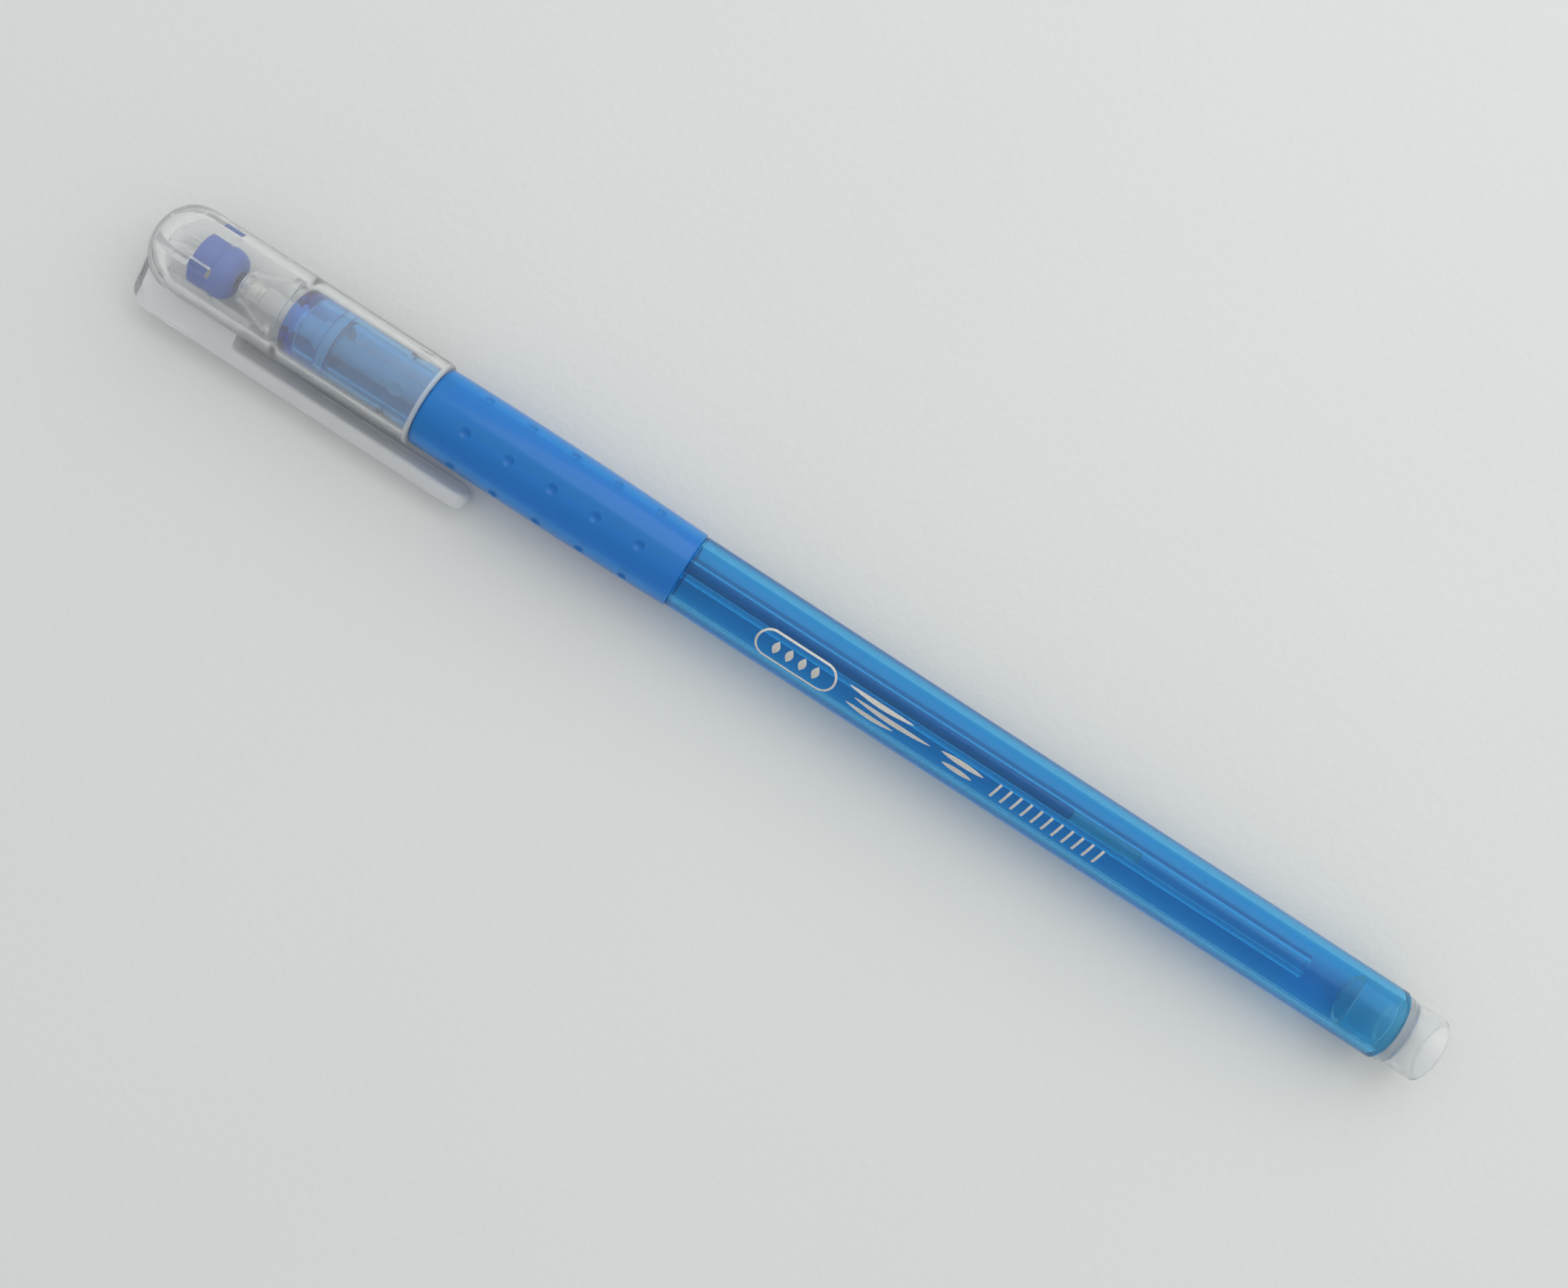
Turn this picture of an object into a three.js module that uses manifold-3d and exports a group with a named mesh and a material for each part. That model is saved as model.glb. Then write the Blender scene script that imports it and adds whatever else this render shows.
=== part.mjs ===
// A capped gel pen, lying on its side with the clip touching the surface it lies on.
// Millimetres, +Z up. The pen's axis runs along +X, from the cap's dome to the end plug.
//
// Every turned piece is drawn as [s, r] points: s is the distance from the dome's apex
// along the pen's axis, and r is the distance from that axis.

import * as THREE from 'three'
import { mergeVertices } from 'three/addons/utils/BufferGeometryUtils.js'
import Module from 'manifold-3d'

const wasm = await Module()
wasm.setup()

// ---------------------------------------------------------------- driving dimensions

const PEN_LENGTH = 149
const SIDES = 48 // facets round the large turned pieces
const SMALL_SIDES = 24 // facets round the refill's pieces
const FIT = 0.03 // radial clearance between coaxial pieces
const GAP = 0.3 // clearance left where a piece is cut by its neighbour

const CAP_RADIUS = 4.6
const CAP_DOME = 3.84 // length of the domed end
const CAP_MOUTH = 31.9
const CAP_BORE = 3.82 // bore that takes the nose
const CAP_POCKET = 3.62 // narrower bore in front, for the seal and the tip guide
const CAP_SHOULDER = 16.1 // where the two bores meet
const POCKET_END = 1.3
const POCKET_DOME = 3.4
const RIM_ROUND = 0.4

const RIB_COUNT = 4
const RIB_WIDTH = 0.85
const RIB_REAR = 8.3
const RIB_TURN = 20 // degrees that the first rib is turned from the top
const NUB_COUNT = 4
const NUB_AT = 28.9
const NUB_TURN = 12 // degrees that the first nub is turned from the top
const NUB_RADIUS = 0.62

const SEAL_FRONT = 5.2
const SEAL_REAR = 9.5
const SEAL_RADIUS = 2.74

const GUIDE_FRONT = 10.3
const GUIDE_REAR = 15.6
const GUIDE_HOLE = 1.45
const GUIDE_WALL = 0.42

const CLIP_DROOP = 26 // degrees that the clip points below the horizontal
const CLIP_WIDTH = 3.15
const CLIP_INNER = 5.89
const CLIP_OUTER = 7.6
const CLIP_START = 0.4
const CLIP_ROOT_END = 12
const CLIP_TIP = 39.6
const CLIP_CORNER = 2.1 // rounding of the outer corner, beside the dome
const CLIP_EDGE = 0.45 // rounding of the clip's long edges

const NOSE_FRONT = 15.9
const NOSE_REAR = 31.7
const NOSE_RADIUS = 3.49
const NOSE_RADIUS_REAR = 3.61
const GROOVE_WIDTH = 1.8 // of the groove that the cap's bumps snap into
const GROOVE_RADIUS = 3.47

const SPIGOT_FRONT = 21.5 // of the barrel's spigot, which clamps the refill's flange in the nose
const SPIGOT_RADIUS = 3
const SPIGOT_BORE = 2.35
const BARREL_SHOULDER = 31.8
const BARREL_REAR = 144.2
const BARREL_BORE = 2.9
const BARREL_UNDER_GRIP = 3.35
const BARREL_RADIUS = 3.96
const BARREL_RADIUS_REAR = 3.79

const GRIP_FRONT = 32
const GRIP_REAR = 61.8
const GRIP_FRONT_RADIUS = 4.19
const GRIP_WAIST_RADIUS = 4.31
const GRIP_REAR_RADIUS = 4.08
const GRIP_WIDEST = 44
const DIMPLE_ROWS = 6
const DIMPLES_PER_ROW = 5
const DIMPLE_FIRST = 37
const DIMPLE_PITCH = 4.97
const DIMPLE_TURN = 9.5 // degrees from the top to the nearest row, towards the clip
const DIMPLE_BALL = 0.6
const DIMPLE_DEPTH = 0.35

const PLUG_FLANGE_RADIUS = 3.56
const PLUG_FLANGE_END = 145
const PLUG_POST_RADIUS = 3.43
const PLUG_POST_BORE = 2.88
const PLUG_SPIGOT_FRONT = 139.2

const BALL_RADIUS = 0.3
const BALL_CENTRE = 8.6
const POINT_RADIUS = 1.15
const POINT_SHOULDER = 12.65
const POINT_REAR = 16.3
const SHANK_RADIUS = 0.85
const HOLDER_RADIUS = 1.22
const HOLDER_REAR = 34.3
const HOLDER_FLANGE = 2.85
const HOLDER_FLANGE_AT = 20.3
const INK_CHANNEL = 0.36

const TUBE_RADIUS = 1.3
const TUBE_BORE = 0.66
const TUBE_FRONT = 31.2
const TUBE_REAR = 134
const TUBE_LEAN = 0.4 // how far the loose tube lies off the pen's axis, away from the clip
const LEAN_START = 34.4
const LEAN_END = 39.6
const INK_FRONT = 34.6
const INK_REAR = 106.6
const FOLLOWER_REAR = 114.6

// ---------------------------------------------------------------- geometry helpers

const radians = THREE.MathUtils.degToRad

// Points along an elliptic arc, from one angle to another, in degrees.
function arc(centreS, centreR, sizeS, sizeR, from, to, steps) {
  const points = []
  for (let i = 0; i <= steps; i++) {
    const angle = radians(from + ((to - from) * i) / steps)
    const r = centreR + sizeR * Math.sin(angle)
    points.push([centreS + sizeS * Math.cos(angle), Math.abs(r) < 1e-9 ? 0 : r])
  }
  return points
}

function signedVolume(position, index) {
  const a = new THREE.Vector3()
  const b = new THREE.Vector3()
  const c = new THREE.Vector3()
  let volume = 0
  for (let i = 0; i < index.length; i += 3) {
    a.fromBufferAttribute(position, index[i])
    b.fromBufferAttribute(position, index[i + 1])
    c.fromBufferAttribute(position, index[i + 2])
    volume += a.dot(b.cross(c)) / 6
  }
  return volume
}

// Joins the shared vertices, drops the empty triangles and turns the faces outwards.
function weld(geometry) {
  geometry.deleteAttribute('normal')
  geometry.deleteAttribute('uv')
  const welded = mergeVertices(geometry, 1e-4)
  const source = welded.index.array
  const index = []
  for (let i = 0; i < source.length; i += 3) {
    const [a, b, c] = [source[i], source[i + 1], source[i + 2]]
    if (a !== b && b !== c && c !== a) index.push(a, b, c)
  }
  if (signedVolume(welded.attributes.position, index) < 0) index.reverse()
  welded.setIndex(index)
  return welded
}

// Turns a profile round the pen's axis. A profile that misses the axis is closed on itself.
function revolve(profile, sides = SIDES) {
  const onAxis = profile[0][1] === 0 && profile[profile.length - 1][1] === 0
  const outline = onAxis ? profile : [...profile, profile[0]]
  const points = outline.map(([s, r]) => new THREE.Vector2(r, s))
  const lathe = new THREE.LatheGeometry(points, sides)
  lathe.rotateZ(-Math.PI / 2)
  return weld(lathe)
}

function toSolid(geometry) {
  const mesh = new wasm.Mesh({
    numProp: 3,
    vertProperties: new Float32Array(geometry.attributes.position.array),
    triVerts: new Uint32Array(geometry.index.array),
  })
  return new wasm.Manifold(mesh)
}

function toGeometry(solid) {
  const mesh = solid.getMesh()
  const geometry = new THREE.BufferGeometry()
  geometry.setAttribute('position', new THREE.BufferAttribute(new Float32Array(mesh.vertProperties), 3))
  geometry.setIndex(new THREE.BufferAttribute(new Uint32Array(mesh.triVerts), 1))
  return geometry
}

// Spreads copies evenly round the axis. The first is turned by a given angle from the top,
// positive towards the clip's side.
function roundTheAxis(geometry, count, turn) {
  const copies = []
  for (let i = 0; i < count; i++) {
    copies.push(geometry.clone().rotateX(radians(turn + (360 * i) / count)))
  }
  return copies
}

// Shifts the loose part of the refill sideways, smoothly, so that it lies off the axis.
function lean(geometry) {
  const position = geometry.attributes.position
  for (let i = 0; i < position.count; i++) {
    const share = THREE.MathUtils.smoothstep(position.getX(i), LEAN_START, LEAN_END)
    position.setY(i, position.getY(i) + TUBE_LEAN * share)
  }
  return geometry
}

// The places, front to rear, where a leaning piece needs a ring of its own.
function leanRings(front, rear) {
  const steps = 6
  const rings = []
  for (let i = 0; i <= steps; i++) rings.push(LEAN_START + ((LEAN_END - LEAN_START) * i) / steps)
  return [front, ...rings.filter((s) => s > front && s < rear), rear]
}

// ---------------------------------------------------------------- the cap

// The cap's outside, from the dome's apex to the rim.
function capOutside() {
  const rim = CAP_MOUTH - RIM_ROUND
  return [
    ...arc(CAP_DOME, 0, CAP_DOME, CAP_RADIUS, 180, 90, 10),
    ...arc(rim, CAP_RADIUS - RIM_ROUND, RIM_ROUND, RIM_ROUND, 90, 0, 3),
  ]
}

// The cap's inside, from the rim to the blind end.
function capInside() {
  const chamfer = 0.15
  const shoulder = 0.3
  return [
    [CAP_MOUTH, CAP_BORE + chamfer],
    [CAP_MOUTH - chamfer, CAP_BORE],
    [CAP_SHOULDER + shoulder, CAP_BORE],
    [CAP_SHOULDER, CAP_POCKET],
    ...arc(POCKET_END + POCKET_DOME, 0, POCKET_DOME, CAP_POCKET, 90, 180, 8),
  ]
}

// Ribs in the blind end of the cap. Long ones grip the seal, and short ones stop its front.
function capRibs() {
  const root = 0.5 // how far the ribs run into the cap's wall
  const inner = 1.4
  const front = POCKET_END - root
  const stop = SEAL_FRONT - FIT
  const height = CAP_POCKET - SEAL_RADIUS + root
  const long = new THREE.BoxGeometry(RIB_REAR - front, RIB_WIDTH, height)
  long.translate((RIB_REAR + front) / 2, 0, SEAL_RADIUS + FIT + height / 2)
  const short = new THREE.BoxGeometry(stop - front, RIB_WIDTH, CAP_POCKET - inner)
  short.translate((stop + front) / 2, 0, (CAP_POCKET + inner) / 2)
  return [long, short].flatMap((rib) => roundTheAxis(weld(rib), RIB_COUNT, RIB_TURN))
}

// Low bumps inside the mouth, which snap the cap on.
function capNubs() {
  const nub = new THREE.SphereGeometry(NUB_RADIUS, 8, 6)
  nub.scale(1.3, 1, 0.32)
  nub.translate(NUB_AT, 0, CAP_BORE + 0.05)
  return roundTheAxis(weld(nub), NUB_COUNT, NUB_TURN)
}

function cap() {
  const filled = toSolid(revolve([...capOutside(), [CAP_MOUTH, 0]]))
  let solid = toSolid(revolve([...capOutside(), ...capInside()]))
  for (const rib of capRibs()) solid = solid.add(toSolid(rib).intersect(filled))
  for (const nub of capNubs()) solid = solid.add(toSolid(nub))
  return toGeometry(solid)
}

// ---------------------------------------------------------------- the clip

// The clip seen from the side, as [s, r], with its root reaching down to the axis.
function clipSideOutline() {
  const quarter = Math.PI / 2
  const fillet = 0.7
  const tip = 0.7
  const shape = new THREE.Shape()
  shape.moveTo(CLIP_START, 0)
  shape.absarc(CLIP_START + CLIP_CORNER, CLIP_OUTER - CLIP_CORNER, CLIP_CORNER, Math.PI, quarter, true)
  shape.absarc(CLIP_TIP - tip, CLIP_OUTER - tip, tip, quarter, 0, true)
  shape.absarc(CLIP_TIP - tip, CLIP_INNER + tip, tip, 0, -quarter, true)
  shape.absarc(CLIP_ROOT_END + fillet, CLIP_INNER - fillet, fillet, quarter, Math.PI, false)
  shape.lineTo(CLIP_ROOT_END, 0)
  return shape
}

// The clip seen from outside, as [s, across], with round corners at both ends.
function clipPlanOutline() {
  const quarter = Math.PI / 2
  const half = CLIP_WIDTH / 2
  const tipLength = 1.8
  const tipWidth = 1.3
  const heel = 0.6
  const tip = CLIP_TIP - tipLength
  const shape = new THREE.Shape()
  shape.absellipse(tip, tipWidth - half, tipLength, tipWidth, -quarter, 0, false, 0)
  shape.absellipse(tip, half - tipWidth, tipLength, tipWidth, 0, quarter, false, 0)
  shape.absarc(CLIP_START + heel, half - heel, heel, quarter, Math.PI, false)
  shape.absarc(CLIP_START + heel, heel - half, heel, Math.PI, Math.PI + quarter, false)
  return shape
}

// The space that the clip keeps clear of, a little larger than the cap all over.
function clearOfCap() {
  const widened = capOutside().map(([s, r]) => [s - GAP * (1 - r / CAP_RADIUS), r + GAP])
  return revolve([[-GAP, 0], ...widened, [CAP_MOUTH + GAP, CAP_RADIUS + GAP], [CAP_MOUTH + GAP, 0]])
}

// Built pointing straight up from the axis, then turned to where it points.
function clip() {
  const side = new THREE.ExtrudeGeometry(clipSideOutline(), {
    depth: CLIP_WIDTH - 2 * CLIP_EDGE,
    bevelSize: CLIP_EDGE,
    bevelOffset: -CLIP_EDGE,
    bevelThickness: CLIP_EDGE,
    bevelSegments: 3,
    curveSegments: 4,
  })
  side.translate(0, 0, CLIP_EDGE - CLIP_WIDTH / 2)
  side.rotateX(Math.PI / 2)
  const plan = new THREE.ExtrudeGeometry(clipPlanOutline(), {
    depth: 2 * CLIP_OUTER,
    bevelEnabled: false,
    curveSegments: 5,
  })
  const solid = toSolid(weld(side)).intersect(toSolid(weld(plan))).subtract(toSolid(clearOfCap()))
  return toGeometry(solid).rotateX(radians(90 + CLIP_DROOP))
}

// ---------------------------------------------------------------- pieces inside the cap

// A rubber stopper. The ball of the pen's point presses into the hollow in its rear.
function sealPlug() {
  const edge = 0.25
  const waist = 7.2
  const waistRadius = 2.5
  const bulb = 1.5 // rounding of the rear edge
  const hollowFront = 8.05
  return revolve([
    [SEAL_FRONT, 0],
    [SEAL_FRONT, SEAL_RADIUS - edge],
    [SEAL_FRONT + edge, SEAL_RADIUS],
    [waist - 0.4, SEAL_RADIUS],
    [waist, waistRadius],
    [waist + 0.4, SEAL_RADIUS],
    ...arc(SEAL_REAR - bulb, SEAL_RADIUS - bulb, bulb, bulb, 90, 0, 7),
    [SEAL_REAR - 1, 0.55],
    [hollowFront, 0.45],
    [hollowFront, 0],
  ], SMALL_SIDES)
}

// A thin funnel that leads the point into the seal. Its rim fits the cap's bore.
function tipGuide() {
  const outer = CAP_POCKET - FIT
  const inner = outer - GUIDE_WALL
  const rim = 0.9 // length of the rim
  const land = 0.35 // straight length of the hole
  const rimFront = GUIDE_REAR - rim
  const coneRear = outer - 0.2
  return revolve([
    [GUIDE_FRONT, GUIDE_HOLE],
    [GUIDE_FRONT, GUIDE_HOLE + GUIDE_WALL],
    [GUIDE_FRONT + land, GUIDE_HOLE + GUIDE_WALL],
    [rimFront, coneRear],
    [rimFront, outer],
    [GUIDE_REAR, outer],
    [GUIDE_REAR, inner],
    [GUIDE_REAR - 0.25, inner],
    [GUIDE_FRONT + land + 0.2, GUIDE_HOLE],
  ])
}

// ---------------------------------------------------------------- nose, grip and barrel

// The front of the pen's body, a socket for the barrel's spigot.
function nose() {
  const mouth = HOLDER_RADIUS + 0.12
  const wall = 1.1
  const round = 0.9
  const chamber = 2.65
  const socket = SPIGOT_RADIUS + FIT
  const bore = HOLDER_FLANGE + 0.08
  const seat = HOLDER_FLANGE_AT - 0.05
  const groove = GROOVE_WIDTH / 2
  const slope = 0.3
  return revolve([
    [NOSE_FRONT, mouth],
    ...arc(NOSE_FRONT + round, NOSE_RADIUS - round, round, round, 180, 90, 4),
    [NUB_AT - groove, NOSE_RADIUS_REAR - 0.02],
    [NUB_AT - groove + slope, GROOVE_RADIUS],
    [NUB_AT + groove - slope, GROOVE_RADIUS],
    [NUB_AT + groove, NOSE_RADIUS_REAR],
    [NOSE_REAR, NOSE_RADIUS_REAR],
    [NOSE_REAR, socket],
    [SPIGOT_FRONT - 0.1, socket],
    [SPIGOT_FRONT - 0.1, bore],
    [seat, bore],
    [seat, chamber],
    [NOSE_FRONT + wall + 0.7, chamber],
    [NOSE_FRONT + wall, mouth],
  ])
}

// The sleeve swells gently towards its front third.
function gripRadius(s) {
  const end = s < GRIP_WIDEST ? GRIP_FRONT : GRIP_REAR
  const endRadius = s < GRIP_WIDEST ? GRIP_FRONT_RADIUS : GRIP_REAR_RADIUS
  const share = (s - GRIP_WIDEST) / (end - GRIP_WIDEST)
  return GRIP_WAIST_RADIUS - (GRIP_WAIST_RADIUS - endRadius) * share * share
}

function gripProfile() {
  const inner = BARREL_UNDER_GRIP + FIT
  const edge = 0.12
  const steps = 12
  const profile = [[GRIP_FRONT, inner], [GRIP_FRONT, gripRadius(GRIP_FRONT) - edge]]
  for (let i = 0; i <= steps; i++) {
    const s = GRIP_FRONT + edge + ((GRIP_REAR - GRIP_FRONT - 2 * edge) * i) / steps
    profile.push([s, gripRadius(s)])
  }
  profile.push([GRIP_REAR, gripRadius(GRIP_REAR) - edge], [GRIP_REAR, inner])
  return profile
}

// The balls that press the dimples into the grip, in rows along the pen.
function dimpleBalls() {
  const balls = []
  for (let i = 0; i < DIMPLES_PER_ROW; i++) {
    const s = DIMPLE_FIRST + DIMPLE_PITCH * i
    const ball = new THREE.SphereGeometry(DIMPLE_BALL, 8, 6)
    ball.rotateX(Math.PI / 2)
    ball.translate(s, 0, gripRadius(s) + DIMPLE_BALL - DIMPLE_DEPTH)
    balls.push(...roundTheAxis(weld(ball), DIMPLE_ROWS, DIMPLE_TURN))
  }
  return balls
}

function gripSleeve() {
  let solid = toSolid(revolve(gripProfile()))
  for (const ball of dimpleBalls()) solid = solid.subtract(toSolid(ball))
  return toGeometry(solid)
}

// A spigot in the nose, a neck under the grip, and the barrel itself.
function barrel() {
  const gripEnd = GRIP_REAR + 0.05
  const round = 0.2
  const boreFront = BARREL_SHOULDER + 1.2
  return revolve([
    [SPIGOT_FRONT, SPIGOT_BORE],
    [SPIGOT_FRONT, SPIGOT_RADIUS],
    [BARREL_SHOULDER, SPIGOT_RADIUS],
    [BARREL_SHOULDER, BARREL_UNDER_GRIP],
    [gripEnd, BARREL_UNDER_GRIP],
    [gripEnd, BARREL_RADIUS - round],
    ...arc(gripEnd + round, BARREL_RADIUS - round, round, round, 135, 90, 1),
    ...arc(BARREL_REAR - round, BARREL_RADIUS_REAR - round, round, round, 90, 0, 2),
    [BARREL_REAR, BARREL_BORE],
    [boreFront, BARREL_BORE],
    [boreFront - 0.6, SPIGOT_BORE],
  ])
}

// The plug in the rear of the barrel: a hollow spigot, a flange, and a post with an open end.
function endPlug() {
  const spigot = BARREL_BORE - FIT
  const spigotBore = 2.2
  const web = 143.6
  const floor = 145.5
  const round = 0.3
  const seat = BARREL_REAR + FIT
  return revolve([
    [web, 0],
    [web, spigotBore],
    [PLUG_SPIGOT_FRONT, spigotBore],
    [PLUG_SPIGOT_FRONT, spigot - 0.25],
    [PLUG_SPIGOT_FRONT + 0.4, spigot],
    [seat, spigot],
    [seat, PLUG_FLANGE_RADIUS],
    [PLUG_FLANGE_END - 0.15, PLUG_FLANGE_RADIUS],
    [PLUG_FLANGE_END, PLUG_POST_RADIUS],
    ...arc(PEN_LENGTH - round, PLUG_POST_RADIUS - round, round, round, 90, 0, 2),
    [PEN_LENGTH, PLUG_POST_BORE],
    [floor + 0.4, PLUG_POST_BORE - 0.1],
    [floor, PLUG_POST_BORE - 0.5],
    [floor, 0],
  ])
}

// ---------------------------------------------------------------- the refill

function ball() {
  const sphere = new THREE.SphereGeometry(BALL_RADIUS, 12, 8)
  sphere.translate(BALL_CENTRE, 0, 0)
  return weld(sphere)
}

// The metal point: a cup that holds the ball, a cone, and a shank pressed into the holder.
function pointHousing() {
  const cup = BALL_RADIUS + 0.02
  const lip = 118 // degrees round the ball to where the spun lip ends
  const channel = 0.15
  const bore = 0.4
  const boreFront = 10.4
  const coneEnd = 10.6
  return revolve([
    ...arc(BALL_CENTRE, 0, cup, cup, 30, lip, 6),
    [BALL_CENTRE - 0.13, 0.37],
    [coneEnd, 0.93],
    [coneEnd + 0.7, POINT_RADIUS],
    [POINT_SHOULDER, POINT_RADIUS],
    [POINT_SHOULDER, SHANK_RADIUS],
    [POINT_REAR, SHANK_RADIUS],
    [POINT_REAR, bore],
    [boreFront, bore],
    [boreFront - 0.4, channel],
  ], SMALL_SIDES)
}

// Joins the point to the refill tube. Its flange seats against the step inside the nose.
function tipHolder() {
  const front = POINT_SHOULDER + FIT
  const socket = SHANK_RADIUS + FIT
  const socketEnd = POINT_REAR + 0.1
  const collar = 1.6
  const collarAt = 19.2
  const flangeRear = HOLDER_FLANGE_AT + 1
  const hub = 1.15
  const hubRear = TUBE_FRONT - 0.05
  const spigot = TUBE_BORE - FIT
  return revolve([
    [front, socket],
    [front, HOLDER_RADIUS],
    [collarAt - 0.6, HOLDER_RADIUS],
    [collarAt, collar],
    [HOLDER_FLANGE_AT, collar],
    [HOLDER_FLANGE_AT, HOLDER_FLANGE],
    [flangeRear, HOLDER_FLANGE],
    [flangeRear, hub],
    [hubRear, hub],
    [hubRear, spigot],
    [HOLDER_REAR, spigot],
    [HOLDER_REAR, INK_CHANNEL],
    [socketEnd, INK_CHANNEL],
    [socketEnd, socket],
  ], SMALL_SIDES)
}

// The refill's tube, pushed over the rear of the holder and loose behind it.
function refillTube() {
  const rings = leanRings(TUBE_FRONT, TUBE_REAR)
  const outside = rings.map((s) => [s, TUBE_RADIUS])
  const inside = rings.map((s) => [s, TUBE_BORE]).reverse()
  return lean(revolve([...outside, ...inside], SMALL_SIDES))
}

// A column that fills the tube's bore between two places.
function fillingOfTube(front, rear) {
  const rings = leanRings(front, rear).map((s) => [s, TUBE_BORE - FIT])
  return lean(revolve([[front, 0], ...rings, [rear, 0]], SMALL_SIDES))
}

// ---------------------------------------------------------------- the scene graph

function material(color, roughness, metalness = 0, opacity = 1) {
  return new THREE.MeshStandardMaterial({
    color,
    roughness,
    metalness,
    opacity,
    transparent: opacity < 1,
  })
}

const clear = material(0xe4e9e8, 0.08, 0, 0.35)
const violet = material(0x3248bd, 0.5)
const paleBlue = material(0x4d9fd6, 0.15, 0, 0.6)
const satinBlue = material(0x3a83c4, 0.45, 0, 0.9)
const barrelBlue = material(0x3f93d2, 0.25, 0, 0.7)
const milky = material(0xd9dfe3, 0.3, 0, 0.6)
const nickel = material(0xb9b6ae, 0.25, 1)
const carbide = material(0x8b8d90, 0.15, 1)
const ink = material(0x123f86, 0.4)
const grease = material(0xcfd8c4, 0.3, 0, 0.6)

const pen = new THREE.Group()

function addPiece(name, geometry, look) {
  const mesh = new THREE.Mesh(geometry, look)
  mesh.name = name
  pen.add(mesh)
}

addPiece('cap', cap(), clear)
addPiece('clip', clip(), clear)
addPiece('seal_plug', sealPlug(), violet)
addPiece('tip_guide', tipGuide(), clear)
addPiece('nose', nose(), paleBlue)
addPiece('grip_sleeve', gripSleeve(), satinBlue)
addPiece('barrel', barrel(), barrelBlue)
addPiece('end_plug', endPlug(), milky)
addPiece('ball', ball(), carbide)
addPiece('point_housing', pointHousing(), nickel)
addPiece('tip_holder', tipHolder(), milky)
addPiece('refill_tube', refillTube(), milky)
addPiece('ink', fillingOfTube(INK_FRONT, INK_REAR), ink)
addPiece('follower', fillingOfTube(INK_REAR + 0.05, FOLLOWER_REAR), grease)

// The clip's side of the pen reaches further out than the other side, so the axis lies
// off the middle. The cap's cylinder touches the surface at z = 0.
const bounds = new THREE.Box3().setFromObject(pen)
pen.position.set(-PEN_LENGTH / 2, -(bounds.min.y + bounds.max.y) / 2, -bounds.min.z)

const group = new THREE.Group()
group.add(pen)

export default group
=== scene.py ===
"""Looks for a capped gel pen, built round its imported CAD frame.

Outlines are in millimetres, as (s, r): s is the distance from the apex of the cap's dome along
the pen's axis, and r the distance from that axis. Angles go round the axis in degrees from
straight up, positive towards the side that the clip is on.
"""

import math

import bmesh
import bpy
import numpy as np
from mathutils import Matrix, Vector


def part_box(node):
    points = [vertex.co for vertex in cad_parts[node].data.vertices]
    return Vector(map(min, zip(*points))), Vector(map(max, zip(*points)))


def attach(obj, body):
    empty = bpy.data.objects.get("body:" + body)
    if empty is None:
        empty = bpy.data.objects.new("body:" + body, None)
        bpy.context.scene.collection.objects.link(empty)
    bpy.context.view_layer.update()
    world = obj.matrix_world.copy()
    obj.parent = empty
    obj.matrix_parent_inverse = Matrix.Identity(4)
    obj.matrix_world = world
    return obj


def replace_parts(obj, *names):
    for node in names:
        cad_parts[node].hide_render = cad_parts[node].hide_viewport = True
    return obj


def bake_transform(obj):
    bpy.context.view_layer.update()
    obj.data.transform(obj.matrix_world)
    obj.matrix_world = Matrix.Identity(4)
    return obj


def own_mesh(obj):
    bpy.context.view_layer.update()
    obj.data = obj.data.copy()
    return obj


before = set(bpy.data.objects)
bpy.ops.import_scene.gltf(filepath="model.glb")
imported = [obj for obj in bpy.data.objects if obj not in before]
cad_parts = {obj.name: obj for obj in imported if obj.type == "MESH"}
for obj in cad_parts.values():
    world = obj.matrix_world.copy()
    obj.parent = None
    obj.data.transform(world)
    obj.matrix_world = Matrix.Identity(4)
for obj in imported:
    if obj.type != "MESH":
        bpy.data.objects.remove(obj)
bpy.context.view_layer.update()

# ---------------------------------------------------------------- places, from the frame

MM = 0.001
BARREL_LOW, BARREL_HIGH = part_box("barrel")
APEX_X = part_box("cap")[0].x
AXIS_Y = (BARREL_LOW.y + BARREL_HIGH.y) / 2
AXIS_Z = (BARREL_LOW.z + BARREL_HIGH.z) / 2


def span(node):
    """Where a CAD piece starts and ends along the pen, and its largest radius."""
    low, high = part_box(node)
    return (low.x - APEX_X) / MM, (high.x - APEX_X) / MM, (high.z - low.z) / 2 / MM


_, CAP_MOUTH, CAP_RADIUS = span("cap")
CLIP_START, CLIP_TIP, _ = span("clip")
SEAL_FRONT, SEAL_REAR, SEAL_RADIUS = span("seal_plug")
GUIDE_FRONT, GUIDE_REAR, GUIDE_RADIUS = span("tip_guide")
NOSE_FRONT, NOSE_REAR, NOSE_RADIUS = span("nose")
GRIP_FRONT, GRIP_REAR, GRIP_RADIUS = span("grip_sleeve")
SPIGOT_FRONT, BARREL_REAR, BARREL_RADIUS = span("barrel")
PLUG_FRONT, PEN_END, PLUG_RADIUS = span("end_plug")
BALL_FRONT, BALL_REAR, BALL_RADIUS = span("ball")
_, POINT_REAR, POINT_RADIUS = span("point_housing")
HOLDER_FRONT, HOLDER_REAR, FLANGE_RADIUS = span("tip_holder")
TUBE_FRONT, TUBE_REAR, TUBE_RADIUS = span("refill_tube")
INK_FRONT, INK_REAR, INK_RADIUS = span("ink")
FOLLOWER_FRONT, FOLLOWER_REAR, _ = span("follower")

# ---------------------------------------------------------------- driving dimensions

SIDES = 192  # facets round the large pieces
SMALL_SIDES = 96  # facets round the refill's pieces

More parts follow.
